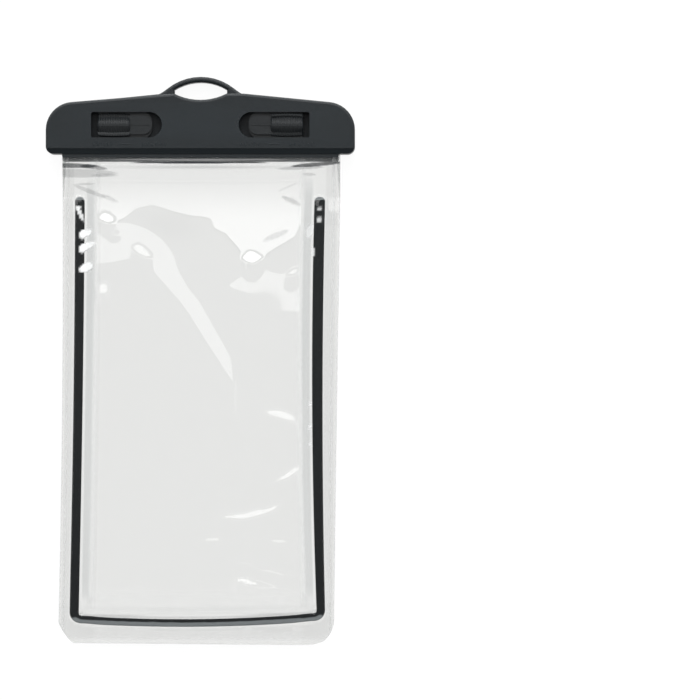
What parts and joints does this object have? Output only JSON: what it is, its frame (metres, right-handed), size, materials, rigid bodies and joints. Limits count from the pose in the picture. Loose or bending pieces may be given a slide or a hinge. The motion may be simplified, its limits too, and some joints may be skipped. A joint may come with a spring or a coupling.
{
  "type": "waterproof phone pouch",
  "caption": "Flat clear pouch for a phone, with a black seam and a rigid clamp across its mouth that sliding locks hold shut, and a loop to hang it by.",
  "frame": {"origin": "middle of the pouch's length and width, on the surface that it lies on", "axes": "+Y along the length from the pocket's bottom to the clamp's loop, +X across the width, +Z out of the front"},
  "size_m": [0.1238, 0.227, 0.0127],
  "materials": {
    "clear_film": "clear glossy flexible film",
    "seam_plastic": "black welded strip, slight gloss",
    "clamp_plastic": "charcoal moulded plastic, fine matt grain",
    "lock_plastic": "dark moulded plastic, ribbed grip",
    "seal_rubber": "soft grey sealing strip"
  },
  "bodies": {
    "pouch_back": {"back_film": "clear_film", "seam_strip": "seam_plastic", "rear_bar": "clamp_plastic", "rear_film_retainer": "clamp_plastic", "rear_seal": "seal_rubber"},
    "front_clamp": {"front_film": "clear_film", "front_bar": "clamp_plastic", "front_film_retainer": "clamp_plastic", "front_seal": "seal_rubber", "left_latch_keeper": "clamp_plastic", "right_latch_keeper": "clamp_plastic"},
    "left_lock": {"left_latch": "lock_plastic"},
    "right_lock": {"right_latch": "lock_plastic"}
  },
  "joints": [
    {"name": "clamp_open", "type": "slide", "parent": "pouch_back", "child": "front_clamp", "axis": [0, 0, 1], "range_m": [0, 0.012]},
    {"name": "left_lock_slide", "type": "slide", "parent": "front_clamp", "child": "left_lock", "axis": [1, 0, 0], "range_m": [-0.0022, 0.0032]},
    {"name": "right_lock_slide", "type": "slide", "parent": "front_clamp", "child": "right_lock", "axis": [-1, 0, 0], "range_m": [-0.0022, 0.0032]}
  ]
}
